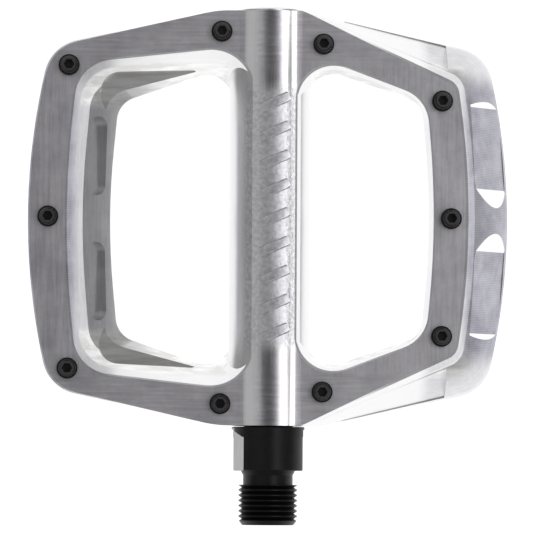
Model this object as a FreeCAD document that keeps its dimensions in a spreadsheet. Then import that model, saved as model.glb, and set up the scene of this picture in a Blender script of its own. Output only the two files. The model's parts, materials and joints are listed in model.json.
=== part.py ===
import FreeCAD, Part
import math
import os
import Sketcher
from FreeCAD import Placement, Rotation, Vector

# Flat bicycle pedal.  Row frame: the spindle runs along Y with its crank thread towards -Y,
# the crank seat is at y = 0, and Z is normal to the tread faces.  The platform is the same
# turned half a turn about the spindle, and is a mirror image of itself about its mid-length.

SIZES = {
    # platform, measured from its own centre
    "mid_y": 61.3, "half_len": 50.35, "half_t": 8.5, "crease_z": 5.5, "edge_bevel": 0.4,
    "lean_high": 0.185, "lean_mid": 0.68, "lean_low": 0.934,
    # tread outline corners: narrow side (x > 0) and wide side (x < 0)
    "narrow1_x": 7.85, "narrow1_y": 50.35, "narrow1_r": 6.0,
    "narrow2_x": 45.3, "narrow2_y": 32.7, "narrow2_r": 4.0,
    "narrow3_x": 49.9, "narrow3_r": 200.0,
    "wide1_x": 13.0, "wide1_y": 50.35, "wide1_r": 25.0,
    "wide2_x": 53.6, "wide2_y": 41.55, "wide2_r": 10.3,
    "wide3_x": 62.2, "wide3_r": 160.0,
    # window outline corners at the tread, the shelf, the waist and the far face
    "wt1_x": 4.4, "wt1_y": 41.9, "wt1_r": 10.0,
    "wt2_x": 46.65, "wt2_y": 37.25, "wt2_r": 9.5, "wt3_x": 50.7, "wt3_r": 240.0,
    "ws1_x": 7.3, "ws1_y": 39.6, "ws1_r": 8.2,
    "ws2_x": 43.4, "ws2_y": 32.6, "ws2_r": 7.5, "ws3_x": 46.3, "ws3_r": 200.0,
    "ww1_x": 9.0, "ww1_y": 37.9, "ww1_r": 6.5,
    "ww2_x": 36.9, "ww2_y": 28.4, "ww2_r": 6.0, "ww3_x": 39.6, "ww3_r": 175.0,
    "wb1_x": 6.4, "wb1_y": 41.05, "wb1_r": 9.0,
    "wb2_x": 37.9, "wb2_y": 29.25, "wb2_r": 9.0, "wb3_x": 40.63, "wb3_r": 215.0,
    "shelf_z": 2.0, "waist_z": 3.0, "beyond_z": 12.0,
    # barrel and its crown
    "barrel_r": 9.8, "crown_r": 14.0, "crown_drop": 4.1,
    "crown_wide_x": 4.4, "crown_narrow_x": 6.5, "flank_wide_x": 6.4, "flank_narrow_x": 7.4,
    "blend_r": 8.0, "crown_root_z": 7.5,
    # pockets in the outer walls
    "chord_x": 53.85, "chord_tilt": 35.7, "chord_len": 13.5,
    "side_near_y": 7.6, "side_far_y": 27.6, "side_fall": 1.75, "side_rise": 1.6,
    "side_near_run": 6.6, "side_far_run": 5.6,
    "wedge_x0": 18.0, "wedge_x1": 43.2, "wedge_z": 5.2,
    "wedge0_hi": 46.4, "wedge0_lo": 49.0, "wedge1_hi": 35.3, "wedge1_lo": 42.8, "wedge_out": 4.0,
    # recesses in the inner walls
    "slope_x": 42.1, "slope_z": -0.45, "slope_tilt": 36.7, "recess_proud": 1.5,
    "recess_depth": 3.1, "recess_y": 15.3, "recess_half": 7.0, "recess_r": 2.6,
    "groove_top_z": 4.5, "groove_depth": 5.3,
    "groove1_x": 14.5, "groove1_y": 36.5, "groove1_r": 0.8,
    "groove2_x": 44.5, "groove2_y": 35.2, "groove2_r": 5.0,
    "groove3_x": 39.5, "groove3_y": 25.5, "groove3_r": 1.0,
    # tread pins
    "pin1_x": -48.95, "pin1_y": 36.75, "pin2_x": -53.85, "pin3_x": -11.95, "pin3_y": 45.15,
    "pin4_x": 12.75, "pin4_y": 42.2, "pin5_x": 41.65, "pin5_y": 28.55, "pin6_x": 43.9,
    "pin_shank_r": 1.75, "pin_hole_gap": 0.02, "pin_hole_depth": 5.2, "pin_shank_len": 4.9,
    "pin_foot_r": 2.55, "pin_foot_len": 1.4, "pin_neck_r": 2.2, "pin_tip_r": 2.05,
    "pin_len": 4.0, "pin_bevel": 0.45, "pin_foot_soft": 0.2,
    "pin_hex_flat": 2.2, "pin_hex_depth": 2.4,
    # raised bars on the crown
    "bar_count": 9, "bar_pitch": 7.0, "bar_wide": 2.2, "bar_long": 7.6, "bar_lean": 24.0,
    "bar_x": 1.0, "bar_proud": 0.35,
    # bore, as stations along Y in the row frame
    "body_in_y": 10.95, "body_out_y": 111.65,
    "seal_bore_r": 8.2, "seal_end_y": 14.0, "bore_r": 7.0, "bush_end_y": 32.2,
    "clear_r": 6.4, "race_y": 89.0, "ring_groove_y": 100.0, "ring_groove_r": 7.5,
    "ring_groove_w": 1.1, "cap_seat_y": 107.05, "cap_bore_r": 8.0,
    # spindle
    "thread_r": 7.144, "thread_root_r": 6.35, "pitch": 1.27, "crest_flat": 0.25, "ridge_count": 7,
    "thread_tip_y": 13.2, "thread_start_y": 3.4, "tip_bevel": 1.2, "neck_r": 6.05,
    "neck_cone_r": 6.6, "neck_cone_y": 1.1, "collar_r": 8.7, "flange_r": 8.9,
    "flange_y": 8.2, "flange_end_y": 10.7, "collar_soft_r": 0.35, "journal_r": 6.0,
    "journal_end_y": 33.5, "taper_end_y": 38.0, "shaft_r": 4.4, "stub_r": 3.5,
    "stub_end_y": 99.8, "screw_r": 3.0, "screw_end_y": 107.2, "screw_bevel": 0.5,
    "flat_half": 7.5, "flat_turn": 15.0, "flat_cut_r": 17.2, "flat_cut_y": -6.9,
    "flat_cut_z": 4.0, "flat_run": 3.0,
    # bush and seal
    "bush_gap": 0.03, "bush_start_y": 14.05, "bush_len": 18.0, "bush_bevel": 0.3,
    "seal_start_y": 10.9, "seal_len": 3.0, "seal_gap": 0.05, "seal_web": 0.8,
    "seal_wall_r": 7.0, "seal_lip_y": 1.7, "seal_lip_w": 0.4, "seal_soft": 0.25,
    # cartridge bearings
    "race_len": 5.0, "race_pitch": 6.0, "inner_rim_r": 4.4, "outer_rim_r": 6.1,
    "ball_r": 1.0, "ball_ring_r": 5.25, "track_gap": 0.02, "ball_count": 10,
    "cage_in_r": 4.8, "cage_out_r": 5.7, "cage_half": 1.4, "cage_gap": 0.07,
    "shield_in_r": 4.75, "shield_near": 2.0, "shield_len": 0.3, "fit_gap": 0.01,
    "inner_spacer_r": 4.3, "outer_spacer_r": 6.2,
    # retaining ring, washer, nut and cap
    "ring_gap": 0.05, "ring_r": 7.4, "ring_in_r": 6.35, "ring_len": 0.95, "ring_open": 3.2,
    "lug_r": 0.85, "lug_x": 2.45, "lug_z": 5.95, "lug_hole_r": 0.4,
    "washer_r": 4.4, "washer_len": 1.4, "nut_flats": 10.0, "nut_len": 4.0, "nut_collar_r": 4.6,
    "nut_collar_len": 1.2, "insert_len": 1.0, "insert_r": 4.0, "nut_bevel": 0.4,
    "screw_gap": 0.02,
    "cap_flange_r": 8.75, "cap_flange_len": 0.5, "dome_r": 35.0, "cap_shank_r": 7.95,
    "cap_hollow_r": 6.2, "cap_hollow_len": 1.8, "cap_hex": 8.0, "cap_hex_sunk": 0.7,
    "oring_back": 1.2, "oring_r": 0.55, "oring_seat_r": 6.85, "oring_half": 0.6,
    "oring_gap": 0.02,
}

doc = FreeCAD.newDocument("flat_pedal")
sheet = doc.addObject("Spreadsheet::Sheet", "Sizes")
for row, (alias, number) in enumerate(SIZES.items(), start=1):
    sheet.set("A%d" % row, alias)
    sheet.set("B%d" % row, str(number))
    sheet.setAlias("B%d" % row, alias)
doc.recompute()


class Size:
    """A sheet value, or a sum or product of them, with the expression that binds it."""

    def __init__(self, value, text):
        self.value = value
        self.text = text

    def __add__(self, other):
        other = as_size(other)
        return Size(self.value + other.value, "(%s + %s)" % (self.text, other.text))

    def __sub__(self, other):
        other = as_size(other)
        return Size(self.value - other.value, "(%s - %s)" % (self.text, other.text))

    def __rsub__(self, other):
        return as_size(other) - self

    def __mul__(self, other):
        other = as_size(other)
        return Size(self.value * other.value, "(%s * %s)" % (self.text, other.text))

    def __truediv__(self, other):
        other = as_size(other)
        return Size(self.value / other.value, "(%s / %s)" % (self.text, other.text))

    def __neg__(self):
        return Size(-self.value, "(-%s)" % self.text)

    __radd__ = __add__
    __rmul__ = __mul__


def as_size(thing):
    return thing if isinstance(thing, Size) else Size(float(thing), repr(float(thing)))


def size(alias):
    return Size(float(sheet.get(alias)), "Sizes." + alias)


ZERO = as_size(0)
NODES = []


def node(thing, label):
    """Gives a sub-part its own label, which names its file."""
    thing.Label = label
    NODES.append(thing)
    return thing


# ---------------------------------------------------------------- sketches and features

def new_body(name):
    return doc.addObject("PartDesign::Body", name)


def origin_feature(body, role):
    return [item for item in body.Origin.OriginFeatures if item.Role == role][0]


def sketch_on(body, name, role, lift=None, offset=None):
    """A sketch on one of the body's origin planes, lifted along the plane's normal."""
    sketch = body.newObject("Sketcher::SketchObject", name)
    sketch.AttachmentSupport = [(origin_feature(body, role), "")]
    sketch.MapMode = "FlatFace"
    if offset is not None:
        sketch.AttachmentOffset = offset
    if lift is not None:
        sketch.setExpression("AttachmentOffset.Base.z", lift.text)
    return sketch


def bind(sketch, kind, refs, amount):
    """Adds one dimension to a sketch and binds it to the sheet."""
    index = sketch.addConstraint(Sketcher.Constraint(kind, *refs, amount.value))
    label = "d%d" % index
    sketch.renameConstraint(index, label)
    if "Sizes." in amount.text:
        sketch.setExpression("Constraints." + label, amount.text)


def pin_point(sketch, geo, pos, x, y):
    """Fixes a point of a sketch at x, y from the sketch's origin."""
    for amount, kind, axis in ((x, "DistanceX", -2), (y, "DistanceY", -1)):
        if abs(amount.value) < 1e-9:
            sketch.addConstraint(Sketcher.Constraint("PointOnObject", geo, pos, axis))
        else:
            bind(sketch, kind, (-1, 1, geo, pos), amount)


def polygon(sketch, points):
    """A closed polygon, every vertex pinned."""
    points = [(as_size(x), as_size(y)) for x, y in points]
    spots = [Vector(x.value, y.value, 0) for x, y in points]
    lines = []
    for index, spot in enumerate(spots):
        after = spots[(index + 1) % len(spots)]
        lines.append(sketch.addGeometry(Part.LineSegment(spot, after), False))
    for index, line in enumerate(lines):
        after = lines[(index + 1) % len(lines)]
        sketch.addConstraint(Sketcher.Constraint("Coincident", line, 2, after, 1))
    for line, (x, y) in zip(lines, points):
        pin_point(sketch, line, 1, x, y)


def circle(sketch, x, y, radius):
    x, y, radius = as_size(x), as_size(y), as_size(radius)
    round_ = Part.Circle(Vector(x.value, y.value, 0), Vector(0, 0, 1), radius.value)
    geo = sketch.addGeometry(round_, False)
    pin_point(sketch, geo, 3, x, y)
    bind(sketch, "Radius", (geo,), radius)


def corner_arc(before, corner, after, radius):
    """The arc that rounds a corner, and its two tangent points."""
    to_before = (before - corner).normalize()
    to_after = (after - corner).normalize()
    half = to_before.getAngle(to_after) / 2
    start = corner + to_before * (radius / math.tan(half))
    end = corner + to_after * (radius / math.tan(half))
    centre = corner + (to_before + to_after).normalize() * (radius / math.sin(half))
    first = math.atan2(start.y - centre.y, start.x - centre.x)
    last = math.atan2(end.y - centre.y, end.x - centre.x)
    arc = Part.ArcOfCircle(Part.Circle(centre, Vector(0, 0, 1), radius), first, last)
    return arc, start, end


def rounded(sketch, corners):
    """A convex outline, anticlockwise: (x, y, radius) corners joined by tangent lines."""
    corners = [tuple(as_size(item) for item in corner) for corner in corners]
    spots = [Vector(x.value, y.value, 0) for x, y, _ in corners]
    count = len(spots)
    rounds = []
    for index in range(count):
        before, after = spots[index - 1], spots[(index + 1) % count]
        rounds.append(corner_arc(before, spots[index], after, corners[index][2].value))
    arcs, lines = [], []
    for index in range(count):
        arcs.append(sketch.addGeometry(rounds[index][0], False))
        leg = Part.LineSegment(rounds[index][2], rounds[(index + 1) % count][1])
        lines.append(sketch.addGeometry(leg, False))
    for index in range(count):
        following = arcs[(index + 1) % count]
        sketch.addConstraint(Sketcher.Constraint("Tangent", arcs[index], 2, lines[index], 1))
        sketch.addConstraint(Sketcher.Constraint("Tangent", lines[index], 2, following, 1))
    for index, (x, y, radius) in enumerate(corners):
        mark = sketch.addGeometry(Part.Point(spots[index]), True)
        pin_point(sketch, mark, 1, x, y)
        sketch.addConstraint(Sketcher.Constraint("PointOnObject", mark, 1, lines[index]))
        sketch.addConstraint(Sketcher.Constraint("PointOnObject", mark, 1, lines[index - 1]))
        bind(sketch, "Radius", (arcs[index],), radius)


def feature(body, kind, name, profile, **settings):
    """A feature of a body, with its settings and its bound sizes."""
    item = body.newObject("PartDesign::" + kind, name)
    item.Profile = profile
    for key, amount in settings.items():
        if isinstance(amount, Size):
            item.setExpression(key, amount.text)
        else:
            setattr(item, key, amount)
    profile.Visibility = False
    body.Tip = item
    return item


def repeated(body, kind, name, originals, **settings):
    """A pattern or mirror of features."""
    item = body.newObject("PartDesign::" + kind, name)
    item.Originals = originals
    for key, amount in settings.items():
        setattr(item, key, amount)
    body.Tip = item
    return item


def half_turn(body, name, originals):
    """The same features again, turned half a turn about the spindle."""
    axis = (origin_feature(body, "Y_Axis"), [""])
    return repeated(body, "PolarPattern", name, originals, Axis=axis, Angle=360, Occurrences=2)


def all_four(body, name, originals):
    """Mirrors features about mid-length and repeats them half a turn round."""
    both = body.newObject("PartDesign::MultiTransform", name)
    mirror = body.newObject("PartDesign::Mirrored", name + "_mirror")
    mirror.MirrorPlane = (origin_feature(body, "XZ_Plane"), [""])
    turn = body.newObject("PartDesign::PolarPattern", name + "_turn")
    turn.Axis = (origin_feature(body, "Y_Axis"), [""])
    turn.Angle = 360
    turn.Occurrences = 2
    both.Transformations = [mirror, turn]
    both.Originals = originals
    body.Tip = both
    return both


def revolved(name, label, points, lift_y=None):
    """A turned piece: (radius, y) profile spun about the spindle's axis."""
    body = new_body(name)
    sketch = sketch_on(body, name + "_profile", "XY_Plane")
    polygon(sketch, points)
    feature(body, "Revolution", name + "_turned", sketch,
            ReferenceAxis=(origin_feature(body, "Y_Axis"), [""]), Angle=360)
    return node(body, label)


def ring_points(inner, outer, start, end):
    return [(inner, start), (outer, start), (outer, end), (inner, end)]


# ---------------------------------------------------------------- platform

def tread_corners(wide_share, narrow_share, inset=ZERO):
    """The platform's outline at one level, from its two tread outlines.

    narrow_share is how far the narrow side has leant out to the wide outline at this level,
    and wide_share how far the wide side has leant in to the narrow one.  inset draws the
    outline in, except beside the barrel, where the bevel of the tread's edge runs out.
    """
    def between(first, second, share, key):
        start, end = size(first + key), size(second + key)
        return start * (1 - share) + end * share

    wide, narrow = [], []
    for number in "12":
        for own, other, share, found in (("wide", "narrow", wide_share, wide),
                                         ("narrow", "wide", narrow_share, narrow)):
            own, other = own + number, other + number
            found.append([between(own, other, share, key) for key in ("_x", "_y", "_r")])
    for corners in (wide, narrow):
        x, y, r = corners[1]
        corners[1] = [x - inset, y - inset, r]
    wide_bow = [between("wide3", "narrow3", wide_share, key) for key in ("_x", "_r")]
    narrow_bow = [between("narrow3", "wide3", narrow_share, key) for key in ("_x", "_r")]
    wide_bow[0], narrow_bow[0] = wide_bow[0] - inset, narrow_bow[0] - inset
    left = [(-x, y, r) for x, y, r in wide]
    left.append((-wide_bow[0], ZERO, wide_bow[1]))
    left += [(-x, -y, r) for x, y, r in reversed(wide)]
    right = [(x, -y, r) for x, y, r in narrow]
    right.append((narrow_bow[0], ZERO, narrow_bow[1]))
    right += [(x, y, r) for x, y, r in reversed(narrow)]
    return left + right


def window_corners(level, spread=ZERO):
    """The window's outline at one level, on the wide side of the upper tread."""
    first = [size("%s1%s" % (level, key)) for key in ("_x", "_y", "_r")]
    second = [size("%s2%s" % (level, key)) for key in ("_x", "_y", "_r")]
    bow_x, bow_r = size(level + "3_x") + spread, size(level + "3_r")
    first = [first[0] - spread, first[1] + spread, first[2]]
    second = [second[0] + spread, second[1] + spread, second[2]]
    return [(-first[0], first[1], first[2]), (-second[0], second[1], second[2]),
            (-bow_x, ZERO, bow_r),
            (-second[0], -second[1], second[2]), (-first[0], -first[1], first[2])]


def platform_walls(body):
    high, middle, low = size("lean_high"), size("lean_mid"), size("lean_low")
    tread, bevel = size("half_t"), size("edge_bevel")
    start = bevel / (tread - size("crease_z"))
    levels = (("tread_up", tread, ZERO, ZERO, bevel),
              ("edge_up", tread - bevel, (1 - low) * start, high * start, ZERO),
              ("crease_up", size("crease_z"), 1 - low, high, ZERO),
              ("middle", ZERO, 1 - middle, middle, ZERO),
              ("crease_down", -size("crease_z"), 1 - high, low, ZERO),
              ("edge_down", bevel - tread, 1 - high * start, 1 - (1 - low) * start, ZERO),
              ("tread_down", -tread, as_size(1), as_size(1), bevel))
    sketches = []
    for name, level, wide_share, narrow_share, inset in levels:
        sketch = sketch_on(body, name, "XY_Plane", lift=level)
        rounded(sketch, tread_corners(wide_share, narrow_share, inset))
        sketches.append(sketch)
    feature(body, "AdditiveLoft", "band_up", sketches[0], Sections=sketches[1:3], Ruled=True)
    feature(body, "AdditiveLoft", "walls", sketches[2], Sections=sketches[3:5], Ruled=False)
    feature(body, "AdditiveLoft", "band_down", sketches[4], Sections=sketches[5:], Ruled=True)


def platform_crown(body):
    """The long swelling over the barrel on both treads, run softly into the flats."""
    radius, drop, blend = size("crown_r"), size("crown_drop"), size("blend_r")
    level, root = size("half_t"), size("crown_root_z")
    rise = level.value + drop.value + blend.value
    reach = math.sqrt((radius.value + blend.value) ** 2 - rise ** 2)
    share = radius.value / (radius.value + blend.value)
    meet = Vector(reach * share, -drop.value + rise * share, 0)
    sketch = sketch_on(body, "crown_profile", "XZ_Plane")
    foot, shoulder = Vector(reach, level.value, 0), Vector(reach, level.value + blend.value, 0)
    up = Vector(0, 0, 1)

    def arc(centre, r, start, end):
        first = math.atan2(start.y - centre.y, start.x - centre.x)
        last = math.atan2(end.y - centre.y, end.x - centre.x)
        return Part.ArcOfCircle(Part.Circle(centre, up, r), first, last)

    def flipped(spot):
        return Vector(-spot.x, spot.y, 0)

    add = sketch.addGeometry
    crown = add(arc(Vector(0, -drop.value, 0), radius.value, meet, flipped(meet)), False)
    right = add(arc(shoulder, blend.value, meet, foot), False)
    left = add(arc(flipped(shoulder), blend.value, flipped(foot), flipped(meet)), False)
    low_right, low_left = Vector(reach, root.value, 0), Vector(-reach, root.value, 0)
    drop_right = add(Part.LineSegment(foot, low_right), False)
    base = add(Part.LineSegment(low_right, low_left), False)
    rise_left = add(Part.LineSegment(low_left, flipped(foot)), False)
    pairs = ((right, 2, drop_right, 1), (drop_right, 2, base, 1), (base, 2, rise_left, 1),
             (rise_left, 2, left, 1))
    for pair in pairs:
        sketch.addConstraint(Sketcher.Constraint("Coincident", *pair))
    sketch.addConstraint(Sketcher.Constraint("Tangent", crown, 1, right, 1))
    sketch.addConstraint(Sketcher.Constraint("Tangent", left, 2, crown, 2))
    sketch.addConstraint(Sketcher.Constraint("Vertical", drop_right))
    sketch.addConstraint(Sketcher.Constraint("Vertical", rise_left))
    sketch.addConstraint(Sketcher.Constraint("Horizontal", base))
    pin_point(sketch, crown, 3, ZERO, -drop)
    bind(sketch, "Radius", (crown,), radius)
    for geo, foot_end in ((right, 2), (left, 1)):
        bind(sketch, "Radius", (geo,), blend)
        bind(sketch, "DistanceY", (-1, 1, geo, 3), level + blend)
        sketch.addConstraint(Sketcher.Constraint("Vertical", geo, 3, geo, foot_end))
    bind(sketch, "DistanceY", (-1, 1, base, 1), root)
    swell = feature(body, "Pad", "crown", sketch, Length=size("half_len") * 2,
                    SideType="Symmetric")
    half_turn(body, "crown_both", [swell])


def platform_windows(body):
    tread, bevel, beyond = size("half_t"), size("edge_bevel"), size("beyond_z")
    levels = (("window_above", beyond, "wt", bevel), ("window_tread", tread, "wt", bevel),
              ("window_edge", tread - bevel, "wt", ZERO),
              ("window_shelf", size("shelf_z"), "ws", ZERO),
              ("window_waist", -size("waist_z"), "ww", ZERO),
              ("window_far_edge", bevel - tread, "wb", ZERO),
              ("window_far", -tread, "wb", bevel), ("window_below", -beyond, "wb", bevel))
    sketches = []
    for name, level, prefix, spread in levels:
        sketch = sketch_on(body, name, "XY_Plane", lift=level)
        rounded(sketch, window_corners(prefix, spread))
        sketches.append(sketch)
    opening = feature(body, "SubtractiveLoft", "window", sketches[0],
                      Sections=sketches[1:], Ruled=True)
    half_turn(body, "window_both", [opening])


def platform_barrel(body):
    """The tube between the windows: crowned above and below, with a flank on each side."""
    drop = size("crown_drop").value
    crown_r, side_r = size("crown_r").value, size("barrel_r").value

    def on_crown(x):
        return Vector(x, -drop + math.sqrt(crown_r ** 2 - x ** 2), 0)

    def on_side(x):
        return Vector(x, math.sqrt(side_r ** 2 - x ** 2), 0)

    wide, narrow = size("crown_wide_x"), size("crown_narrow_x")
    flank_wide, flank_narrow = size("flank_wide_x"), size("flank_narrow_x")
    p1, p2 = on_crown(-wide.value), on_crown(narrow.value)
    p3 = on_side(flank_narrow.value)
    p8 = on_side(-flank_wide.value)
    half = [p2, p1, p8]
    spots = [p3] + half + [-spot for spot in [p3] + half]
    sketch = sketch_on(body, "barrel_profile", "XZ_Plane")
    up = Vector(0, 0, 1)

    def arc(centre, r, start, end):
        first = math.atan2(start.y - centre.y, start.x - centre.x)
        last = math.atan2(end.y - centre.y, end.x - centre.x)
        return sketch.addGeometry(Part.ArcOfCircle(Part.Circle(centre, up, r), first, last), False)

    def line(start, end):
        return sketch.addGeometry(Part.LineSegment(start, end), False)

    chain = []
    crowns, sides = [], []
    for turn in (0, 4):
        sign = 1 if turn == 0 else -1
        a, b, c, d = spots[turn:turn + 4]
        following = spots[(turn + 4) % 8]
        chain.append(line(a, b))
        crowns.append(arc(Vector(0, -drop * sign, 0), crown_r, b, c))
        chain.append(crowns[-1])
        chain.append(line(c, d))
        sides.append(arc(Vector(0, 0, 0), side_r, d, following))
        chain.append(sides[-1])
    for index, geo in enumerate(chain):
        after = chain[(index + 1) % len(chain)]
        sketch.addConstraint(Sketcher.Constraint("Coincident", geo, 2, after, 1))
    for crown, side, sign in zip(crowns, sides, (1, -1)):
        pin_point(sketch, crown, 3, ZERO, -size("crown_drop") * sign)
        bind(sketch, "Radius", (crown,), size("crown_r"))
        bind(sketch, "DistanceX", (-1, 1, crown, 1), narrow * sign)
        bind(sketch, "DistanceX", (-1, 1, crown, 2), -wide * sign)
        sketch.addConstraint(Sketcher.Constraint("Coincident", side, 3, -1, 1))
        bind(sketch, "Radius", (side,), size("barrel_r"))
        bind(sketch, "DistanceX", (-1, 1, side, 1), -flank_wide * sign)
        bind(sketch, "DistanceX", (-1, 1, side, 2), -flank_narrow * sign)
    feature(body, "Pad", "barrel", sketch, Length=size("half_len") * 2, SideType="Symmetric")


def platform_side_pockets(body):
    """Long shallow flats milled in the outer wall of each side bar, ribs left between them."""
    tilt = Rotation(Vector(0, 1, 0), -size("chord_tilt").value)
    offset = Placement(Vector(size("chord_x").value, 0, 0), tilt)
    sketch = sketch_on(body, "side_pocket_profile", "XY_Plane", offset=offset)
    rise = size("side_rise")
    near, far = size("side_near_y"), size("side_far_y")
    polygon(sketch, [(0, near), (rise, near - size("side_near_run")),
                     (rise, far + size("side_far_run")), (-size("side_fall"), far)])
    sketch.setExpression("AttachmentOffset.Base.x", "Sizes.chord_x")
    cut = feature(body, "Pocket", "side_pocket", sketch, Length=size("chord_len"),
                  SideType="Symmetric")
    all_four(body, "side_pockets", [cut])


def platform_wedge_pockets(body):
    """Tapering pockets in the outer walls of the end bars, deepest by the narrow corner."""
    level, out = size("wedge_z"), size("wedge_out")
    sketches = []
    for number in "01":
        sketch = sketch_on(body, "wedge_end" + number, "YZ_Plane", lift=size("wedge_x" + number))
        high, low = size("wedge%s_hi" % number), size("wedge%s_lo" % number)
        polygon(sketch, [(high, level), (low, -level), (low + out, -level),
                         (low + out, level)])
        sketches.append(sketch)
    cut = feature(body, "SubtractiveLoft", "wedge_pocket", sketches[0],
                  Sections=[sketches[1]], Ruled=True)
    all_four(body, "wedge_pockets", [cut])


def platform_recesses(body):
    """Stadium recesses in the inner slope of each side bar."""
    tilt = Rotation(Vector(0, 1, 0), size("slope_tilt").value)
    offset = Placement(Vector(-size("slope_x").value, 0, size("slope_z").value), tilt)
    offset = offset.multiply(Placement(Vector(0, 0, size("recess_proud").value), Rotation()))
    sketch = sketch_on(body, "recess_profile", "XY_Plane", offset=offset)
    radius, half, place = size("recess_r"), size("recess_half"), size("recess_y")
    top, bottom = place + half, place - half
    r, y1, y0 = radius.value, top.value, bottom.value
    up = Vector(0, 0, 1)
    add = sketch.addGeometry
    cap = add(Part.ArcOfCircle(Part.Circle(Vector(0, y1, 0), up, r), 0, math.pi), False)
    left = add(Part.LineSegment(Vector(-r, y1, 0), Vector(-r, y0, 0)), False)
    heel_round = Part.Circle(Vector(0, y0, 0), up, r)
    heel = add(Part.ArcOfCircle(heel_round, math.pi, 2 * math.pi), False)
    right = add(Part.LineSegment(Vector(r, y0, 0), Vector(r, y1, 0)), False)
    loop = (cap, left, heel, right)
    for index, geo in enumerate(loop):
        after = loop[(index + 1) % 4]
        sketch.addConstraint(Sketcher.Constraint("Tangent", geo, 2, after, 1))
    pin_point(sketch, cap, 3, ZERO, top)
    pin_point(sketch, heel, 3, ZERO, bottom)
    bind(sketch, "Radius", (cap,), radius)
    sketch.addConstraint(Sketcher.Constraint("Equal", cap, heel))
    cut = feature(body, "Pocket", "recess", sketch, Length=size("recess_depth"))
    all_four(body, "recesses", [cut])


def platform_grooves(body):
    """Tapering undercut grooves in the end walls of each window, running round the corner."""
    sketch = sketch_on(body, "groove_profile", "XY_Plane", lift=size("groove_top_z"))
    corners = [(-size("groove%s_x" % number), size("groove%s_y" % number),
                size("groove%s_r" % number)) for number in "123"]
    rounded(sketch, corners)
    cut = feature(body, "Pocket", "groove", sketch, Length=size("groove_depth"))
    all_four(body, "grooves", [cut])


def pin_places():
    """The ten pins of the upper tread, from the platform's centre."""
    places = [(size("pin2_x"), ZERO), (size("pin6_x"), ZERO)]
    for number in "1345":
        x, y = size("pin%s_x" % number), size("pin%s_y" % number)
        places += [(x, y), (x, -y)]
    return places


def platform_pin_holes(body):
    sketch = sketch_on(body, "pin_hole_profile", "XY_Plane", lift=size("half_t"))
    for x, y in pin_places():
        circle(sketch, x, y, size("pin_shank_r") + size("pin_hole_gap"))
    holes = feature(body, "Pocket", "pin_holes", sketch, Length=size("pin_hole_depth"))
    half_turn(body, "pin_holes_both", [holes])


def platform_bore(body):
    """The stepped bore: seal, bush, clearance, bearings with ring groove, and cap seat."""
    sketch = sketch_on(body, "bore_profile", "XY_Plane")
    mid = size("mid_y")
    groove = size("ring_groove_y")
    past = as_size(1)
    stations = [
        (ZERO, size("body_in_y") - past), (size("seal_bore_r"), size("body_in_y") - past),
        (size("seal_bore_r"), size("seal_end_y")), (size("bore_r"), size("seal_end_y")),
        (size("bore_r"), size("bush_end_y")), (size("clear_r"), size("bush_end_y")),
        (size("clear_r"), size("race_y")), (size("bore_r"), size("race_y")),
        (size("bore_r"), groove), (size("ring_groove_r"), groove),
        (size("ring_groove_r"), groove + size("ring_groove_w")),
        (size("bore_r"), groove + size("ring_groove_w")),
        (size("bore_r"), size("cap_seat_y")), (size("cap_bore_r"), size("cap_seat_y")),
        (size("cap_bore_r"), size("body_out_y") + past), (ZERO, size("body_out_y") + past)]
    polygon(sketch, [(radius, y - mid) for radius, y in stations])
    feature(body, "Groove", "bore", sketch,
            ReferenceAxis=(origin_feature(body, "Y_Axis"), [""]), Angle=360)


def crown_bars(name, half_turned):
    """Raised slanting bars on one crown, cut to the crown's curve and proud of it."""
    count = int(size("bar_count").value)
    long, wide = size("bar_long").value, size("bar_wide").value
    lean = Rotation(Vector(0, 0, 1), size("bar_lean").value)
    corner = lean.multVec(Vector(-long / 2, -wide / 2, 0))
    boxes = []
    for index in range(count):
        box = doc.addObject("Part::Box", "%s_%d" % (name, index + 1))
        box.setExpression("Length", "Sizes.bar_long")
        box.setExpression("Width", "Sizes.bar_wide")
        box.setExpression("Height", "Sizes.crown_r")
        middle = (index - (count - 1) / 2) * size("bar_pitch").value
        box.Placement = Placement(Vector(size("bar_x").value, middle, 0) + corner, lean)
        boxes.append(box)
    bars = doc.addObject("Part::MultiFuse", name + "_boxes")
    bars.Shapes = boxes
    skins = []
    for part, reach in (("outside", "+"), ("inside", "-")):
        skin = doc.addObject("Part::Cylinder", name + "_" + part)
        skin.setExpression("Radius", "Sizes.crown_r %s Sizes.bar_proud" % reach)
        skin.setExpression("Height", "Sizes.half_len * 2")
        skin.Placement = Placement(Vector(0, size("half_len").value, -size("crown_drop").value),
                                   Rotation(Vector(1, 0, 0), 90))
        skins.append(skin)
    shell = doc.addObject("Part::Cut", name + "_shell")
    shell.Base, shell.Tool = skins
    raised = doc.addObject("Part::Common", name)
    raised.Base, raised.Tool = bars, shell
    if half_turned:
        raised.Placement = Placement(Vector(), Rotation(Vector(0, 1, 0), 180))
    return raised


def pedal_body():
    blank = new_body("platform")
    platform_walls(blank)
    platform_crown(blank)
    platform_windows(blank)
    platform_barrel(blank)
    platform_side_pockets(blank)
    platform_wedge_pockets(blank)
    platform_recesses(blank)
    platform_grooves(blank)
    platform_pin_holes(blank)
    platform_bore(blank)
    whole = doc.addObject("Part::MultiFuse", "platform_with_bars")
    whole.Shapes = [blank, crown_bars("upper_bars", False), crown_bars("lower_bars", True)]
    whole.setExpression("Placement.Base.y", "Sizes.mid_y")
    node(whole, "pedal_body")


# ---------------------------------------------------------------- tread pins

def hexagon(sketch, flats):
    side = flats * (1 / math.sqrt(3))
    polygon(sketch, [(side, 0), (side / 2, flats / 2), (-side / 2, flats / 2),
                     (-side, 0), (-side / 2, -flats / 2), (side / 2, -flats / 2)])


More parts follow.
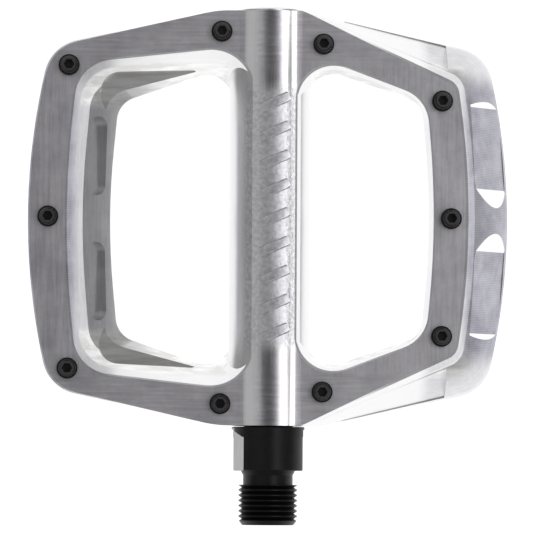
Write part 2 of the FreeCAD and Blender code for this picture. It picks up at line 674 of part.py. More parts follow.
def tread_pin():
    """One threaded pin, standing on z = 0, with a hex socket in its top."""
    body = new_body("tread_pin")
    sketch = sketch_on(body, "tread_pin_profile", "XZ_Plane")
    shank, bevel = size("pin_shank_r"), size("pin_bevel")
    down, foot, soft = -size("pin_shank_len"), size("pin_foot_r"), size("pin_foot_soft")
    tip, top = size("pin_tip_r"), size("pin_len")
    polygon(sketch, [(0, down), (shank - bevel, down), (shank, down + bevel), (shank, 0),
                     (foot - soft, 0), (foot, soft), (foot, size("pin_foot_len")),
                     (size("pin_neck_r"), size("pin_foot_len")),
                     (tip, top - bevel), (tip - bevel, top), (0, top)])
    feature(body, "Revolution", "tread_pin_turned", sketch,
            ReferenceAxis=(origin_feature(body, "Z_Axis"), [""]), Angle=360)
    socket = sketch_on(body, "tread_pin_socket_profile", "XY_Plane", lift=top)
    hexagon(socket, size("pin_hex_flat"))
    feature(body, "Pocket", "tread_pin_socket", socket, Length=size("pin_hex_depth"))
    doc.recompute()
    return body.Shape


def group(label, shape, places):
    """One node made of copies of a shape, each copy a separate solid."""
    copies = []
    for place in places:
        copy = shape.copy()
        copy.Placement = place.multiply(shape.Placement)
        copies.append(copy)
    whole = doc.addObject("Part::Feature", label)
    whole.Shape = Part.makeCompound(copies)
    return node(whole, label)


def pins():
    pin = tread_pin()
    middle = Vector(0, size("mid_y").value, 0)
    seats = [Placement(Vector(x.value, y.value, size("half_t").value), Rotation())
             for x, y in pin_places()]
    half_turned = Placement(Vector(), Rotation(Vector(0, 1, 0), 180))
    group("upper_pins", pin, seats).Placement = Placement(middle, Rotation())
    lower = [half_turned.multiply(seat) for seat in seats]
    group("lower_pins", pin, lower).Placement = Placement(middle, Rotation())


# ---------------------------------------------------------------- spindle

def is_rim(edge, radius, y):
    """Whether an edge is the circle of this radius round the spindle at this station."""
    if not isinstance(edge.Curve, Part.Circle):
        return False
    return abs(edge.Curve.Radius - radius.value) + abs(edge.Curve.Center.y - y.value) < 1e-6


def axle():
    body = new_body("axle_body")
    sketch = sketch_on(body, "axle_profile", "XY_Plane")
    crest, tip, bevel = size("thread_r"), size("thread_tip_y"), size("tip_bevel")
    neck, flange = size("neck_r"), size("flange_r")
    collar, journal, shaft = size("collar_r"), size("journal_r"), size("shaft_r")
    stub, screw = size("stub_r"), size("screw_r")
    flange_y, flange_end = size("flange_y"), size("flange_end_y")
    end, screw_soft = size("screw_end_y"), size("screw_bevel")
    start = size("thread_start_y")
    polygon(sketch, [
        (0, -tip), (crest - bevel * 0.75, -tip), (crest, bevel - tip), (crest, -start),
        (neck, -start), (neck, -size("neck_cone_y")), (size("neck_cone_r"), 0),
        (collar, 0), (collar, flange_y), (flange, flange_y), (flange, flange_end),
        (journal, flange_end),
        (journal, size("journal_end_y")), (shaft, size("taper_end_y")), (shaft, size("race_y")),
        (stub, size("race_y")), (stub, size("stub_end_y")), (screw, size("stub_end_y")),
        (screw, end - screw_soft), (screw - screw_soft, end), (0, end)])
    spin = (origin_feature(body, "Y_Axis"), [""])
    turned = feature(body, "Revolution", "axle_turned", sketch, ReferenceAxis=spin, Angle=360)
    doc.recompute()
    rims = ["Edge%d" % number for number, edge in enumerate(turned.Shape.Edges, start=1)
            if is_rim(edge, collar, ZERO) or is_rim(edge, flange, flange_end)]
    softened = body.newObject("PartDesign::Fillet", "collar_rims")
    softened.Base = (turned, rims)
    softened.setExpression("Radius", "Sizes.collar_soft_r")
    body.Tip = softened

    ridge = sketch_on(body, "thread_profile", "XY_Plane")
    pitch, land = size("pitch"), size("crest_flat")
    low, high = -start - pitch + land / 2, -start - land / 2
    polygon(ridge, [(crest + 0.5, low), (crest + 0.5, high), (crest, high),
                    (size("thread_root_r"), -start - pitch / 2), (crest, low)])
    valley = feature(body, "Groove", "thread_valley", ridge, ReferenceAxis=spin, Angle=360)
    thread = repeated(body, "LinearPattern", "thread", [valley],
                      Direction=spin, Mode="Spacing", Reversed=True,
                      Occurrences=int(size("ridge_count").value))
    thread.setExpression("Offset", "Sizes.pitch")

    flat = sketch_on(body, "wrench_flat_profile", "YZ_Plane", lift=size("flat_half"))
    circle(flat, size("flat_cut_y"), size("flat_cut_z"), size("flat_cut_r"))
    cut = feature(body, "Pocket", "wrench_flat", flat, Length=size("flat_run"), Reversed=True)
    half_turn(body, "wrench_flats", [cut])
    body.Placement = Placement(Vector(), Rotation(Vector(0, 1, 0), size("flat_turn").value))
    node(body, "axle")


# ---------------------------------------------------------------- bush and seal

def set_along(body, amount):
    """Slides a piece along the spindle by a sheet size."""
    body.setExpression("Placement.Base.y", amount.text)


def bush_and_seal():
    inner, outer = size("journal_r") + size("bush_gap"), size("bore_r") - size("fit_gap")
    soft, length = size("bush_bevel"), size("bush_len")
    bush = revolved("bush_body", "axle_bush", [
        (inner, soft), (inner + soft, 0), (outer - soft, 0), (outer, soft),
        (outer, length - soft), (outer - soft, length), (inner + soft, length),
        (inner, length - soft)])
    set_along(bush, size("bush_start_y"))

    inner, outer = size("journal_r") + size("seal_gap"), size("seal_bore_r") - size("fit_gap")
    web, wall, length = size("seal_web"), size("seal_wall_r"), size("seal_len")
    lip, width = size("seal_lip_y"), size("seal_lip_w")
    soft = size("seal_soft")
    seal = revolved("seal_body", "lip_seal", [
        (inner + soft, 0), (outer, 0), (outer, length), (wall, length), (wall, web),
        (wall - soft, web), (inner + width, lip), (inner, lip - soft / 2), (inner, lip - width)])
    set_along(seal, size("seal_start_y"))


# ---------------------------------------------------------------- cartridge bearings

def race(name, label, inner, outer):
    """A bearing ring centred on y = 0, with the ball track cut in it."""
    half = size("race_len") / 2
    body = revolved(name, label, ring_points(inner, outer, -half, half))
    track = sketch_on(body, name + "_track_profile", "XY_Plane")
    circle(track, size("ball_ring_r"), 0, size("ball_r") + size("track_gap"))
    feature(body, "Groove", name + "_track", track,
            ReferenceAxis=(origin_feature(body, "Y_Axis"), [""]), Angle=360)
    return body


def cage(name, label):
    half = size("cage_half")
    body = revolved(name, label, ring_points(size("cage_in_r"), size("cage_out_r"), -half, half))
    hole = sketch_on(body, name + "_hole_profile", "YZ_Plane")
    circle(hole, 0, 0, size("ball_r") + size("cage_gap"))
    cut = feature(body, "Pocket", name + "_hole", hole, Length=size("bore_r"), Reversed=True)
    repeated(body, "PolarPattern", name + "_holes", [cut],
             Axis=(origin_feature(body, "Y_Axis"), [""]), Angle=360,
             Occurrences=int(size("ball_count").value))
    return body


def bearing(side, middle):
    """One shielded cartridge bearing; its middle is at the given station."""
    fit = size("fit_gap")
    set_along(race(side + "_inner", side + "_inner_race", size("stub_r") + fit,
                   size("inner_rim_r")), middle)
    set_along(race(side + "_outer", side + "_outer_race", size("outer_rim_r"),
                   size("bore_r") - fit), middle)
    set_along(cage(side + "_cage_body", side + "_cage"), middle)
    near = size("shield_near")
    far = near + size("shield_len")
    edge = size("outer_rim_r") - fit
    for place, start, end in (("crank", -far, -near), ("tip", near, far)):
        name = "%s_%s_shield" % (side, place)
        points = ring_points(size("shield_in_r"), edge, start, end)
        set_along(revolved(name + "_body", name, points), middle)
    ball = Part.makeSphere(size("ball_r").value)
    count = int(size("ball_count").value)
    ring = size("ball_ring_r").value
    places = []
    for index in range(count):
        turn = Rotation(Vector(0, 1, 0), 360 * index / count)
        places.append(Placement(turn.multVec(Vector(ring, 0, 0)), turn))
    balls = group(side + "_balls", ball, places)
    balls.Placement = Placement(Vector(0, middle.value, 0), Rotation())


def bearings():
    fit, start = size("fit_gap"), size("race_y")
    length, pitch = size("race_len"), size("race_pitch")
    bearing("inboard", start + length / 2)
    bearing("outboard", start + length / 2 + pitch)
    gap = ring_points(size("stub_r") + fit, size("inner_spacer_r"), 0, pitch - length)
    set_along(revolved("inner_spacer_body", "inner_race_spacer", gap), start + length)
    gap = ring_points(size("outer_spacer_r"), size("bore_r") - fit, 0, pitch - length)
    set_along(revolved("outer_spacer_body", "outer_race_spacer", gap), start + length)


# ---------------------------------------------------------------- outboard end

def retaining_ring():
    body = new_body("ring_body")
    length = size("ring_len")
    hoop = sketch_on(body, "ring_profile", "XZ_Plane")
    circle(hoop, 0, 0, size("ring_r"))
    circle(hoop, 0, 0, size("ring_in_r"))
    feature(body, "Pad", "ring_hoop", hoop, Length=length, Reversed=True)
    mouth = sketch_on(body, "ring_mouth_profile", "XZ_Plane")
    half = size("ring_open") / 2
    polygon(mouth, [(-half, 0), (half, 0), (half, size("bore_r") * 2),
                    (-half, size("bore_r") * 2)])
    feature(body, "Pocket", "ring_mouth", mouth, Length=length)
    lugs = sketch_on(body, "ring_lug_profile", "XZ_Plane")
    holes = sketch_on(body, "ring_hole_profile", "XZ_Plane")
    for side in (-1, 1):
        circle(lugs, size("lug_x") * side, size("lug_z"), size("lug_r"))
        circle(holes, size("lug_x") * side, size("lug_z"), size("lug_hole_r"))
    feature(body, "Pad", "ring_lugs", lugs, Length=length, Reversed=True)
    feature(body, "Pocket", "ring_holes", holes, Length=length)
    set_along(node(body, "retaining_ring"), size("ring_groove_y") + size("ring_gap"))


def washer_and_nut():
    bore, seat = size("screw_r") + size("screw_gap"), size("ring_groove_y")
    thick = size("washer_len")
    washer = revolved("washer_body", "thrust_washer",
                      ring_points(bore, size("washer_r"), 0, thick))
    set_along(washer, seat)

    body = new_body("nut_body")
    outline = sketch_on(body, "nut_profile", "XZ_Plane")
    hexagon(outline, size("nut_flats"))
    circle(outline, 0, 0, bore)
    length, collar = size("nut_len"), size("nut_collar_len")
    feature(body, "Pad", "nut_hex", outline, Length=length, Reversed=True)
    rim = sketch_on(body, "nut_rim_profile", "XY_Plane")
    polygon(rim, ring_points(size("insert_r"), size("nut_collar_r"), length, length + collar))
    spin = (origin_feature(body, "Y_Axis"), [""])
    feature(body, "Revolution", "nut_rim", rim, ReferenceAxis=spin, Angle=360)
    corner, soft = size("nut_flats") * (1 / math.sqrt(3)), size("nut_bevel")
    for name, face, step in (("seat", ZERO, soft), ("back", length, -soft)):
        bevel = sketch_on(body, "nut_%s_profile" % name, "XY_Plane")
        polygon(bevel, [(corner - soft * 1.7, face), (corner + 1, face),
                        (corner + 1, face + step), (corner, face + step)])
        feature(body, "Groove", "nut_" + name, bevel, ReferenceAxis=spin, Angle=360)
    set_along(node(body, "lock_nut"), seat + thick)
    insert = revolved("insert_body", "lock_nut_insert",
                      ring_points(bore, size("insert_r"), length, length + size("insert_len")))
    set_along(insert, seat + thick)


def end_cap():
    """The domed plug: flange and dome outside, hollow shank with an O-ring seat inside."""
    body = new_body("cap_body")
    sketch = sketch_on(body, "cap_profile", "XY_Plane")
    rim, step, dome = size("cap_flange_r"), size("cap_flange_len"), size("dome_r")
    shank, hollow = size("cap_shank_r"), size("cap_hollow_r")
    inner = size("cap_seat_y") - size("body_out_y")
    back, seat, half = -size("oring_back"), size("oring_seat_r"), size("oring_half")
    points = [(rim, step), (rim, ZERO), (shank, ZERO), (shank, back + half), (seat, back + half),
              (seat, back - half), (shank, back - half), (shank, inner), (hollow, inner),
              (hollow, inner + size("cap_hollow_len")), (ZERO, inner + size("cap_hollow_len"))]
    fall = math.sqrt(dome.value ** 2 - rim.value ** 2)
    centre = Vector(0, step.value - fall, 0)
    apex = centre + Vector(0, dome.value, 0)
    spots = [Vector(x.value, y.value, 0) for x, y in points]
    lines = []
    for start, end in zip(spots, spots[1:] + [apex]):
        lines.append(sketch.addGeometry(Part.LineSegment(start, end), False))
    arc = Part.ArcOfCircle(Part.Circle(centre, Vector(0, 0, 1), dome.value),
                           math.atan2(fall, rim.value), math.pi / 2)
    crown = sketch.addGeometry(arc, False)
    for line, after in zip(lines, lines[1:]):
        sketch.addConstraint(Sketcher.Constraint("Coincident", line, 2, after, 1))
    sketch.addConstraint(Sketcher.Constraint("Coincident", lines[-1], 2, crown, 2))
    sketch.addConstraint(Sketcher.Constraint("Coincident", crown, 1, lines[0], 1))
    for line, (x, y) in zip(lines, points):
        pin_point(sketch, line, 1, x, y)
    sketch.addConstraint(Sketcher.Constraint("PointOnObject", crown, 3, -2))
    sketch.addConstraint(Sketcher.Constraint("PointOnObject", crown, 2, -2))
    bind(sketch, "Radius", (crown,), dome)
    feature(body, "Revolution", "cap_turned", sketch,
            ReferenceAxis=(origin_feature(body, "Y_Axis"), [""]), Angle=360)
    socket = sketch_on(body, "cap_socket_profile", "XZ_Plane", lift=size("cap_hex_sunk"))
    hexagon(socket, size("cap_hex"))
    feature(body, "Pocket", "cap_socket", socket, Length=size("bore_r"))
    set_along(node(body, "end_cap"), size("body_out_y"))

    ring = doc.addObject("Part::Torus", "oring_shape")
    ring.setExpression("Radius1", "Sizes.cap_bore_r - Sizes.oring_gap - Sizes.oring_r")
    ring.setExpression("Radius2", "Sizes.oring_r")
    ring.Placement = Placement(Vector(), Rotation(Vector(1, 0, 0), 90))
    set_along(node(ring, "end_cap_o_ring"), size("body_out_y") - size("oring_back"))


# ---------------------------------------------------------------- build, check and write

def check_and_write():
    doc.recompute()
    for item in doc.Objects:
        if "Invalid" in item.State or "Error" in item.State:
            raise RuntimeError("%s did not build: %s" % (item.Name, item.State))
        if item.TypeId == "Sketcher::SketchObject" and not item.FullyConstrained:
            raise RuntimeError("%s is loose" % item.Name)
    os.makedirs("parts", exist_ok=True)
    for item in NODES:
        shape = item.Shape
        if shape.isNull() or not shape.isValid() or not shape.Solids:
            raise RuntimeError("%s has no sound shape" % item.Label)
        shape.exportStep("parts/%s.step" % item.Label)
        print("%-26s %2d solid(s) %9.2f mm3" % (item.Label, len(shape.Solids), shape.Volume))


pedal_body()
pins()
axle()
bush_and_seal()
bearings()
retaining_ring()
washer_and_nut()
end_cap()
check_and_write()
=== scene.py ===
import json
import math

import bpy
from mathutils import Matrix, Vector


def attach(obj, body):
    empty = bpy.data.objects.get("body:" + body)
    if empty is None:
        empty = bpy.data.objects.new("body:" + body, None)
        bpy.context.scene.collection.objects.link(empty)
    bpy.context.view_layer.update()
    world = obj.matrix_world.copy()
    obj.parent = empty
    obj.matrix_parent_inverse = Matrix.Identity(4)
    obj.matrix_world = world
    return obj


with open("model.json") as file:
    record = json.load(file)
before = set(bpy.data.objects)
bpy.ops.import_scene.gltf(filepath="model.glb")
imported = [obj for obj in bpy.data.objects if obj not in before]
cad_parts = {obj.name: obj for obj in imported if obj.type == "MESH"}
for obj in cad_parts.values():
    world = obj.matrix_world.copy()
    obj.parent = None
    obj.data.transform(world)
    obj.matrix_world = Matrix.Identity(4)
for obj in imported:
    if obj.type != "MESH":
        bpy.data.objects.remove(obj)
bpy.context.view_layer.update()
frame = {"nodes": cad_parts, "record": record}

NODES = frame["nodes"]
MM = 0.001
MID_Y = 61.3 * MM       # middle of the platform along the spindle


# ---------------------------------------------------------------- shader arithmetic

class Wire:
    """A socket of a shader, so that sums and products of sockets read as arithmetic."""

    def __init__(self, nodes, socket):
        self.nodes = nodes
        self.socket = socket

    def math(self, operation, other=None, flipped=False):
        values = {0: self} if other is None else {0: self, 1: other}
        if flipped:
            values = {0: other, 1: self}
        return self.nodes.node("ShaderNodeMath", {"operation": operation}, values)

    def __add__(self, other):
        return self.math("ADD", other)

    def __sub__(self, other):
        return self.math("SUBTRACT", other)

    def __rsub__(self, other):
        return self.math("SUBTRACT", other, flipped=True)

    def __mul__(self, other):
        return self.math("MULTIPLY", other)

    def __abs__(self):
        return self.math("ABSOLUTE")

    __radd__ = __add__
    __rmul__ = __mul__

    def clamped(self):
        return self.math("MAXIMUM", 0.0).math("MINIMUM", 1.0)

    def rise(self, start, end):
        """0 before start, 1 past end, smooth between; it falls if end is below start."""
        values = {"Value": self, "From Min": start, "From Max": end}
        if end < start:
            values = {"Value": self, "From Min": end, "From Max": start,
                      "To Min": 1.0, "To Max": 0.0}
        return self.nodes.node("ShaderNodeMapRange", {"interpolation_type": "SMOOTHSTEP"}, values)


class Nodes:
    """The node tree of one material or world, built node by node on Object coordinates."""

    def __init__(self, owner):
        owner.use_nodes = True
        self.owner = owner
        self.tree = owner.node_tree
        self.tree.nodes.clear()

    def add(self, kind, settings=None, values=None):
        """A node: its settings first, then the values or links of its sockets."""
        made = self.tree.nodes.new(kind)
        for key, setting in (settings or {}).items():
            if key == "stops":
                self.set_stops(made.color_ramp, setting)
            else:
                setattr(made, key, setting)
        for key, value in (values or {}).items():
            target = made.inputs[key]
            if isinstance(value, Wire):
                self.tree.links.new(value.socket, target)
            else:
                target.default_value = value
        return made

    def set_stops(self, ramp, stops):
        while len(ramp.elements) < len(stops):
            ramp.elements.new(1.0)
        for element, (place, colour) in zip(ramp.elements, stops):
            element.position = place
            element.color = colour

    def node(self, kind, settings=None, values=None, output=0):
        return Wire(self, self.add(kind, settings, values).outputs[output])

    def point(self):
        return self.node("ShaderNodeTexCoord", output="Object")

    def facing(self):
        """The surface's own normal in the piece's frame."""
        return self.node("ShaderNodeTexCoord", output="Normal")

    def parts(self, vector):
        split = self.add("ShaderNodeSeparateXYZ", values={0: vector})
        return [Wire(self, split.outputs[axis]) for axis in "XYZ"]

    def dot(self, vector, direction):
        settings = {"operation": "DOT_PRODUCT"}
        return self.node("ShaderNodeVectorMath", settings, {0: vector, 1: direction}, "Value")

    def noise(self, vector, scale, detail=3.0, roughness=0.55, stretch=(1, 1, 1)):
        """Noise whose grain is about 1 / scale metres, drawn out by the given factors."""
        placed = self.node("ShaderNodeMapping", values={
            "Vector": vector, "Scale": tuple(1.0 / part for part in stretch)})
        return self.node("ShaderNodeTexNoise", values={
            "Vector": placed, "Scale": scale, "Detail": detail, "Roughness": roughness})

    def bands(self, value, spacing):
        """A smooth ripple from 0 to 1 with the given spacing."""
        return (value * (2 * math.pi / spacing)).math("SINE") * 0.5 + 0.5

    def mix(self, share, first, second):
        """A colour between two colours."""
        settings = {"data_type": "RGBA"}
        return self.node("ShaderNodeMix", settings, {0: share, 6: first, 7: second}, output=2)

    def ramp(self, value, stops):
        return self.node("ShaderNodeValToRGB", {"stops": stops}, {"Fac": value})

    def bump(self, height, depth, strength, normal=None):
        values = {"Height": height, "Distance": depth, "Strength": strength}
        if normal is not None:
            values["Normal"] = normal
        return self.node("ShaderNodeBump", values=values)

    def shaded(self, **sockets):
        """Closes the material with a Principled shader. Socket names have _ for a space."""
        values = {key.replace("_", " "): value for key, value in sockets.items()}
        shader = self.node("ShaderNodeBsdfPrincipled", values=values)
        self.add("ShaderNodeOutputMaterial", values={"Surface": shader})
        return self.owner


def finish(name):
    return Nodes(bpy.data.materials.new(name))


def grey(level):
    return (level, level, level, 1.0)


# ---------------------------------------------------------------- the platform's finish

# The darkest and the lightest tone of each zone. The slope tones are partly painted sheen and the
# side-pocket tones partly a painted darker reflection; the run-out tone is partly a painted
# highlight.
TREAD_TONES = (0.47, 0.455, 0.49, 1), (0.73, 0.715, 0.75, 1)
WALL_TONES = (0.80, 0.80, 0.81, 1), (0.93, 0.93, 0.935, 1)
SLOPE_ALLOY_AND_SHEEN_TONES = (0.56, 0.56, 0.58, 1), (0.74, 0.74, 0.76, 1)
POCKET_ALLOY_AND_REFLECTION_TONES = (0.30, 0.295, 0.35, 1), (0.58, 0.575, 0.63, 1)
GROOVE_TONES = (0.76, 0.755, 0.74, 1), (0.95, 0.95, 0.95, 1)
CAST_TONES = (0.64, 0.635, 0.67, 1), (0.86, 0.855, 0.89, 1)
MOON_POLISH_AND_HIGHLIGHT_TONE = grey(0.96)
MILLING_PITCH = 0.42 * MM


class PlatformZones:
    """How much of each finish lies at a point of the platform, from 0 to 1; the slope,
    side-pocket and run-out zones also carry painted reflection.
    """

    def __init__(self, mat, point):
        x, y, z = mat.parts(point)
        _, normal_y, normal_z = mat.parts(mat.facing())
        aside, height, level = abs(x), abs(z), abs(normal_z)
        along = abs(y - MID_Y)
        self.x = x
        self.y = y
        self.tread = level.rise(0.95, 0.995) * height.rise(7.9 * MM, 8.3 * MM)
        self.crown = aside.rise(6.6 * MM, 6.2 * MM) * height.rise(7.2 * MM, 8.2 * MM)
        self.cast = self.crown * along.rise(34 * MM, 29 * MM)
        self.slope = aside.rise(36 * MM, 40 * MM) * level.rise(0.1, 0.3)
        self.groove = along.rise(26 * MM, 29 * MM) * height.rise(6.2 * MM, 5.4 * MM) \
            * aside.rise(49 * MM, 46 * MM) * aside.rise(9.5 * MM, 11 * MM) \
            * along.rise(39 * MM, 37 * MM)
        self.on_ends = along.rise(35 * MM, 40 * MM)
        # The run-outs at both ends of a side pocket, polished and painted near white as a painted
        # highlight, and the pocket between them, darkened as a painted reflection.
        outer = aside.rise(46 * MM, 49 * MM) * level.rise(0.95, 0.9)
        far_end = ((y - MID_Y) * normal_y).rise(-0.005, -0.010)
        near_end = along.rise(9.0 * MM, 7.8 * MM) * abs(normal_y).rise(0.12, 0.2)
        self.moon = outer * (near_end + far_end).clamped()
        self.pocket = outer * along.rise(37 * MM, 31 * MM) * (1 - self.moon)


def brushed(mat, point, zones, scale, detail, roughness, length):
    """Grain that runs along the spindle on the side bars and across it on the end bars."""
    lengthwise = mat.noise(point, scale, detail, roughness, stretch=(1, length, 1))
    crosswise = mat.noise(point, scale, detail, roughness, stretch=(length, 1, 1))
    return lengthwise * (1 - zones.on_ends) + crosswise * zones.on_ends


def platform_alloy():
    """Satin machined alloy: brushed treads, bright milled walls, a textured crown."""
    mat = finish("platform_alloy")
    point = mat.point()
    zones = PlatformZones(mat, point)

    grain = brushed(mat, point, zones, 3600, 4, 0.6, 26)
    scratches = brushed(mat, point, zones, 1500, 3, 0.55, 20)
    cloud = mat.noise(point, 110, detail=4, roughness=0.6)
    blotch = mat.noise(point, 520, detail=5, roughness=0.7)
    fine = mat.noise(point, 9000, detail=2)
    lumps = mat.noise(point, 1150, detail=3, roughness=0.5)
    streaks = mat.noise(point, 620, detail=4, roughness=0.6, stretch=(9, 1, 2))
    milling = mat.bands(zones.y + blotch * (0.1 * MM), MILLING_PITCH)

    shade = cloud * 0.5 + blotch * 0.3 + grain * 0.2
    # Tread and slope tone: random shade, grain and scratches, plus a painted side light that
    # makes the tone lighter towards +x.
    wear_and_side_light = (shade - 0.5) * 2.4 + (scratches - 0.5) * 1.3 + 0.52 + zones.x * 3.0
    milled = (cloud - 0.5) * 2.2 + blotch * 0.6 + milling * 0.4 + 0.05
    # Slopes: partly the alloy's own tone, partly painted sheen.
    colour = mat.mix(zones.slope, mat.mix(shade, *WALL_TONES),
                     mat.mix(wear_and_side_light.clamped(), *SLOPE_ALLOY_AND_SHEEN_TONES))
    colour = mat.mix(zones.tread, colour, mat.mix(wear_and_side_light.clamped(), *TREAD_TONES))
    colour = mat.mix(zones.groove, colour, mat.mix(streaks.rise(0.38, 0.62), *GROOVE_TONES))
    # Side pockets: milled tone darkened as a painted reflection.
    colour = mat.mix(zones.pocket, colour, mat.mix(milled.clamped(), *POCKET_ALLOY_AND_REFLECTION_TONES))
    # Run-outs: near white, partly polish, partly a painted highlight.
    colour = mat.mix(zones.moon, colour, MOON_POLISH_AND_HIGHLIGHT_TONE)
    colour = mat.mix(zones.cast * 0.85, colour, mat.mix(lumps.rise(0.3, 0.7), *CAST_TONES))

    rough = 0.22 + zones.tread * 0.10 + zones.pocket * 0.12 + grain * 0.10 + cloud * 0.06 \
        - zones.crown * 0.19 + zones.cast * 0.15
    height = grain * (0.25 + zones.tread * 0.75) + fine * 0.25 + blotch * 0.35 \
        + zones.pocket * milling * 0.7
    surface = mat.bump(height * (1 - zones.crown * 0.7), 0.03 * MM, 0.6)
    surface = mat.bump(lumps * zones.cast, 0.08 * MM, 0.5, normal=surface)
    return mat.shaded(Base_Color=colour, Metallic=1.0, Roughness=rough.clamped(),
                      Normal=surface)


# ---------------------------------------------------------------- the other finishes

FLAT_NORMAL = (-0.9659, 0.0, 0.2588)                     # way the wrench flats face
FLAT_TONES = (0.30, 0.30, 0.305, 1), (0.46, 0.46, 0.47, 1)
PIN_TIP_TONE = grey(0.13)


def black_steel(name, tone, rough, ground=0.0):
    """Black oxide on turned steel, rubbed lighter on the pin tips; ground flats are back to grey.
    """
    mat = finish(name)
    point = mat.point()
    facing = mat.facing()
    _, y, z = mat.parts(point)
    cloud = mat.noise(point, 300, detail=4)
    fine = mat.noise(point, 5200, detail=3)
    turned = mat.noise(point, 2600, detail=2, stretch=(12, 1, 12))
    streak = mat.noise(point, 3000, detail=3, stretch=(1, 18, 1))
    flat = abs(mat.dot(facing, FLAT_NORMAL)).rise(0.99, 0.999) \
        * y.rise(-0.5 * MM, 0.2 * MM) * y.rise(11.0 * MM, 10.8 * MM) * ground
    tip = abs(z).rise(12.2 * MM, 12.4 * MM) * abs(mat.parts(facing)[2]).rise(0.85, 0.95)
    colour = mat.mix(cloud, (tone, tone, tone * 1.06, 1), (tone * 2.0, tone * 2.0, tone * 2.1, 1))
    colour = mat.mix(flat, colour, mat.mix(streak, *FLAT_TONES))
    colour = mat.mix(tip, colour, PIN_TIP_TONE)
    return mat.shaded(Base_Color=colour, Metallic=0.7 + flat * 0.3,
                      Roughness=(rough + cloud * 0.12 + flat * 0.04).clamped(),
                      Normal=mat.bump(fine * 0.5 + turned * 0.5, 0.02 * MM, 0.55))


def plain_metal(name, low, high, rough):
    mat = finish(name)
    point = mat.point()
    cloud = mat.noise(point, 400, detail=3)
    turned = mat.noise(point, 3000, detail=2, stretch=(4, 1, 4))
    return mat.shaded(Base_Color=mat.mix(cloud, low, high), Metallic=1.0,
                      Roughness=(rough + cloud * 0.1).clamped(),
                      Normal=mat.bump(turned, 0.02 * MM, 0.4))


def soft_stuff(name, low, high, rough):
    mat = finish(name)
    point = mat.point()
    cloud = mat.noise(point, 700, detail=4)
    fine = mat.noise(point, 6000, detail=3)
    return mat.shaded(Base_Color=mat.mix(cloud, low, high),
                      Roughness=(rough + fine * 0.15).clamped(),
                      Normal=mat.bump(fine, 0.02 * MM, 0.5))


FINISHES = {
    "platform_alloy": platform_alloy(),
    "cap_alloy": plain_metal("cap_alloy", grey(0.72), grey(0.88), 0.26),
    "black_spindle_steel": black_steel("black_spindle_steel", 0.010, 0.32, ground=1.0),
    "black_pin_steel": black_steel("black_pin_steel", 0.030, 0.20),
    "bush_polymer": soft_stuff("bush_polymer", grey(0.1), grey(0.16), 0.5),
    "seal_rubber": soft_stuff("seal_rubber", grey(0.012), grey(0.03), 0.6),
    "race_steel": plain_metal("race_steel", grey(0.55), grey(0.66), 0.2),
    "ball_steel": plain_metal("ball_steel", grey(0.74), grey(0.8), 0.06),
    "cage_steel": plain_metal("cage_steel", (0.42, 0.4, 0.36, 1), (0.55, 0.53, 0.48, 1), 0.35),
    "shield_steel": plain_metal("shield_steel", grey(0.6), grey(0.72), 0.25),
    "spacer_steel": plain_metal("spacer_steel", grey(0.46), grey(0.58), 0.3),
    "spring_steel": plain_metal("spring_steel", grey(0.06), grey(0.1), 0.4),
    "nut_steel": plain_metal("nut_steel", (0.6, 0.6, 0.56, 1), (0.7, 0.7, 0.68, 1), 0.3),
    "nut_nylon": soft_stuff("nut_nylon", (0.05, 0.13, 0.4, 1), (0.08, 0.2, 0.52, 1), 0.4),
}
for entry in frame["record"]["subparts"]:
    surface = NODES[entry["node"]]
    surface.data.materials.clear()
    surface.data.materials.append(FINISHES[entry["material_slot"]])


# ---------------------------------------------------------------- bars raised on the crowns

BAR_COUNT = 9
BAR_PITCH = 7.0 * MM
BAR_LEAN = math.radians(24)
BAR_X = 1.0 * MM
BAR_LONG, BAR_WIDE = 7.9 * MM, 2.5 * MM
BAR_R = 14.5 * MM               # round of the bar's back, about the crown's own centre
CROWN_CENTRE_Z = -4.1 * MM
BAR_ROOT = 13.0 * MM            # from the crown's centre to the bar's foot, inside the barrel
BAR_SOFT = 0.42 * MM
FOLD = math.radians(30)
SMOOTH = math.radians(35)


def pick(*pieces):
    """Selects these pieces and nothing else; the first becomes the active one."""
    bpy.ops.object.select_all(action="DESELECT")
    for piece in pieces:
        piece.select_set(True)
    bpy.context.view_layer.objects.active = pieces[0]


def copy_of(piece):
    """A copy that has its own mesh."""
    pick(piece)
    bpy.ops.object.duplicate()
    return bpy.context.object


def settle(*pieces):
    """Puts place and turn into the meshes and joins the pieces to the first."""
    pick(*pieces)
    bpy.ops.object.transform_apply(location=True, rotation=True, scale=True)
    bpy.ops.object.join()


def one_bar():
    """A slice of a drum as round as the crown, cut to the bar's length, its edges softened."""
    bpy.ops.mesh.primitive_cylinder_add(vertices=256, radius=BAR_R, depth=BAR_WIDE,
                                        rotation=(math.pi / 2, 0, 0))
    bar = bpy.context.object
    bpy.ops.object.transform_apply(location=True, rotation=True, scale=True)
    pick(bar)
    bpy.ops.object.mode_set(mode="EDIT")
    for place, away in (((BAR_LONG / 2, 0, 0), (1, 0, 0)), ((-BAR_LONG / 2, 0, 0), (-1, 0, 0)),
                        ((0, 0, BAR_ROOT), (0, 0, -1))):
        bpy.ops.mesh.select_all(action="SELECT")
        bpy.ops.mesh.bisect(plane_co=place, plane_no=away, use_fill=True, clear_outer=True)
    bpy.ops.mesh.select_all(action="DESELECT")
    bpy.ops.mesh.edges_select_sharp(sharpness=FOLD)
    bpy.ops.mesh.bevel(offset=BAR_SOFT, segments=4, affect="EDGES")
    bpy.ops.object.mode_set(mode="OBJECT")
    return bar


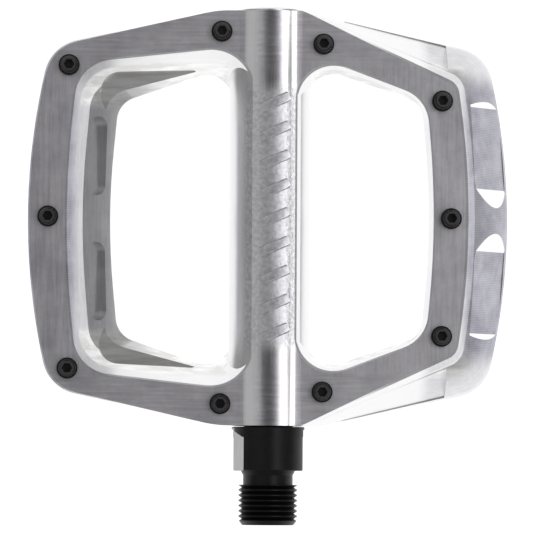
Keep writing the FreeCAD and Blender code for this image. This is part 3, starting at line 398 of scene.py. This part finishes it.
def crown_bars():
    """Nine slanting bars along each crown, the lower row turned half round the barrel."""
    first = one_bar()
    row = [first] + [copy_of(first) for _ in range(BAR_COUNT - 1)]
    for index, bar in enumerate(row):
        from_middle = (index - (BAR_COUNT - 1) / 2) * BAR_PITCH
        bar.rotation_euler = (0, 0, BAR_LEAN)
        bar.location = (BAR_X, MID_Y + from_middle, CROWN_CENTRE_Z)
    settle(*row)
    under = copy_of(first)
    under.rotation_euler = (0, math.pi, 0)
    settle(first, under)
    bpy.ops.object.shade_smooth_by_angle(angle=SMOOTH)
    first.name = "crown_bars"
    first.data.name = "crown_bars"
    first.data.materials.append(FINISHES["platform_alloy"])
    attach(first, "platform")


# ---------------------------------------------------------------- studio

LENS, SENSOR = 360.0, 36.0
TARGET = Vector((-0.61, 49.8, 0.0)) * MM
FROM_TARGET = Vector((-0.026, -0.0396, 1.0))
CAMERA_UP = (-0.0054, 1, 0)
CAMERA_REACH = 1.3              # metres from the target
FLOOR_Z = -62 * MM              # the platform clears it as it turns
FLOOR_SIZE = 6
FLOOR_GLOW = 0.70
# Sky greys from straight down (0) by the horizon (0.5) to straight up (1).
AIR_STOPS = [(0.0, grey(0.9)), (0.5, grey(0.27)), (0.68, grey(0.30)), (0.80, grey(0.38)),
             (0.93, grey(0.46)), (0.980, grey(0.48)), (0.989, grey(0.16)), (1.0, grey(0.07))]


def look(place, target, up):
    """The turn that points an object's -Z from place to target."""
    back = (Vector(place) - Vector(target)).normalized()
    side = Vector(up).cross(back).normalized()
    return Matrix((side, back.cross(side), back)).transposed().to_quaternion()


def aimed(name, data, place, target, up):
    """An object for a camera or a light, at its place and turned to its target."""
    made = bpy.data.objects.new(name, data)
    bpy.context.scene.collection.objects.link(made)
    made.location = place
    made.rotation_mode = "QUATERNION"
    made.rotation_quaternion = look(place, target, up)
    return made


def camera():
    data = bpy.data.cameras.new("camera")
    data.lens = LENS
    data.sensor_width = SENSOR
    data.clip_start, data.clip_end = 0.05, 20.0
    place = TARGET + FROM_TARGET.normalized() * CAMERA_REACH
    bpy.context.scene.camera = aimed("camera", data, place, TARGET, CAMERA_UP)


def soft_box(name, place, width, height, power):
    """A soft box aimed at the middle of the pedal."""
    data = bpy.data.lights.new(name, "AREA")
    data.shape = "RECTANGLE"
    data.size, data.size_y = width, height
    data.energy = power
    aimed(name, data, place, (0, MID_Y, 0), (0, 1, 0))


def studio():
    """A pale floor, a graded sky and one soft box high on the right."""
    bpy.ops.mesh.primitive_plane_add(size=FLOOR_SIZE, location=(0, MID_Y, FLOOR_Z))
    floor = bpy.context.object
    floor.name = "studio_floor"
    paper = finish("studio_paper")
    mottle = paper.noise(paper.point(), 3, detail=2)
    floor.data.materials.append(paper.shaded(
        Base_Color=paper.mix(mottle, grey(0.93), grey(0.95)), Roughness=0.9,
        Emission_Color=grey(1.0), Emission_Strength=FLOOR_GLOW))
    air = Nodes(bpy.data.worlds.new("studio_air"))
    height = air.parts(air.node("ShaderNodeTexCoord"))[2]
    glow = air.ramp(height * 0.5 + 0.5, AIR_STOPS)
    air.add("ShaderNodeOutputWorld", values={
        "Surface": air.node("ShaderNodeBackground", values={"Color": glow, "Strength": 1.0})})
    bpy.context.scene.world = air.owner
    soft_box("right_box", (0.56, 0.08, 1.06), 0.34, 0.9, 1.25)


bpy.ops.object.select_all(action="DESELECT")
crown_bars()
camera()
studio()
bpy.context.scene.view_settings.view_transform = "Standard"
